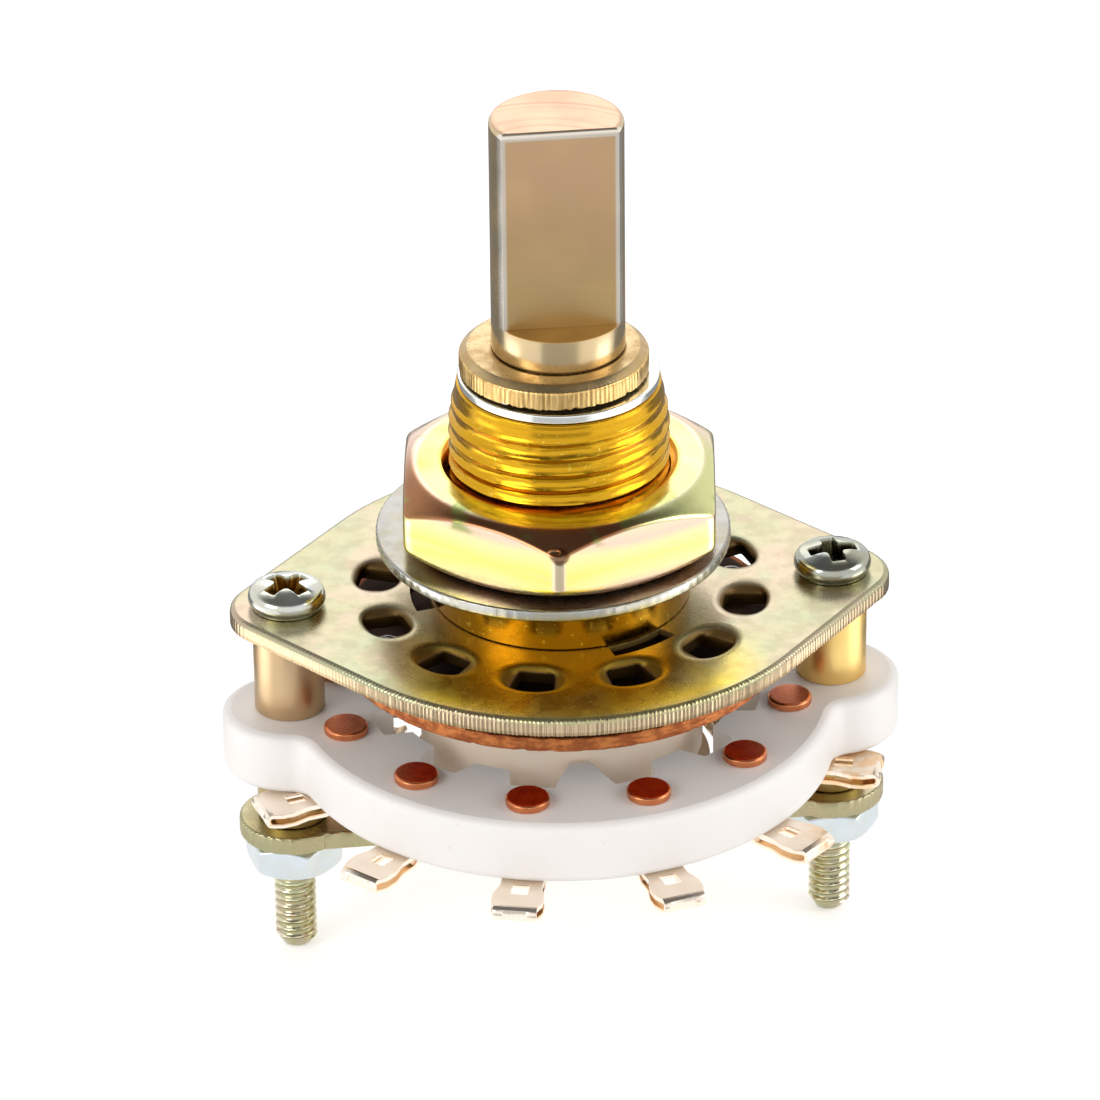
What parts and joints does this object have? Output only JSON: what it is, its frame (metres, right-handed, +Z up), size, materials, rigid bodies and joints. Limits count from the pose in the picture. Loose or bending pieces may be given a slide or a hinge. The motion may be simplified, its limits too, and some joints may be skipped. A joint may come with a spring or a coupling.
{
  "type": "rotary wafer switch",
  "caption": "Panel-mount rotary selector switch: D-flat shaft in a threaded bushing, detent plate and a ceramic wafer ringed with riveted solder lugs.",
  "frame": {"origin": "middle of the panel seat, the top face of the bushing's collar", "axes": "+Z up the shaft, +X through the two long screws, -Y towards the shaft's flat"},
  "size_m": [0.0312, 0.0292, 0.0414],
  "materials": {
    "satin_brass": "satin, tumbled",
    "bright_brass": "bright turned",
    "yellow_zinc": "zinc plated, yellow chromate",
    "white_zinc": "zinc plated, blue-white",
    "spring_steel": "plain, polished",
    "copper": "copper, oxidised on the sheared edge",
    "ceramic": "unglazed, matt",
    "contact_alloy": "silver plated strip"
  },
  "bodies": {
    "frame": {"upper_spacer_left": "satin_brass", "upper_spacer_right": "satin_brass", "bushing": "bright_brass", "lower_spacer_left": "bright_brass", "lower_spacer_right": "bright_brass", "panel_nut": "yellow_zinc", "index_plate": "yellow_zinc", "rear_strap": "yellow_zinc", "panel_washer": "white_zinc", "shaft_washer": "white_zinc", "screw_left": "white_zinc", "screw_right": "white_zinc", "screw_nut_left": "white_zinc", "screw_nut_right": "white_zinc", "rivet_01": "copper", "rivet_02": "copper", "rivet_03": "copper", "rivet_04": "copper", "rivet_05": "copper", "rivet_06": "copper", "rivet_07": "copper", "rivet_08": "copper", "rivet_09": "copper", "rivet_10": "copper", "rivet_11": "copper", "rivet_12": "copper", "stator": "ceramic", "contact_clip_01": "contact_alloy", "contact_clip_02": "contact_alloy", "contact_clip_03": "contact_alloy", "contact_clip_04": "contact_alloy", "contact_clip_05": "contact_alloy", "contact_clip_06": "contact_alloy", "contact_clip_07": "contact_alloy", "contact_clip_08": "contact_alloy", "contact_clip_09": "contact_alloy", "contact_clip_10": "contact_alloy", "contact_clip_11": "contact_alloy", "contact_clip_12": "contact_alloy"},
    "shaft_group": {"shaft": "satin_brass", "retaining_clip": "satin_brass", "index_disc": "copper", "detent_ball_1": "spring_steel", "detent_ball_2": "spring_steel", "detent_spring": "spring_steel", "rotor": "ceramic", "rotor_contact": "contact_alloy"}
  },
  "joints": [
    {"name": "shaft_turn", "type": "hinge", "parent": "frame", "child": "shaft_group", "pos_m": [0, 0, 0], "axis": [0, 0, 1], "range_deg": [-150, 150]}
  ]
}
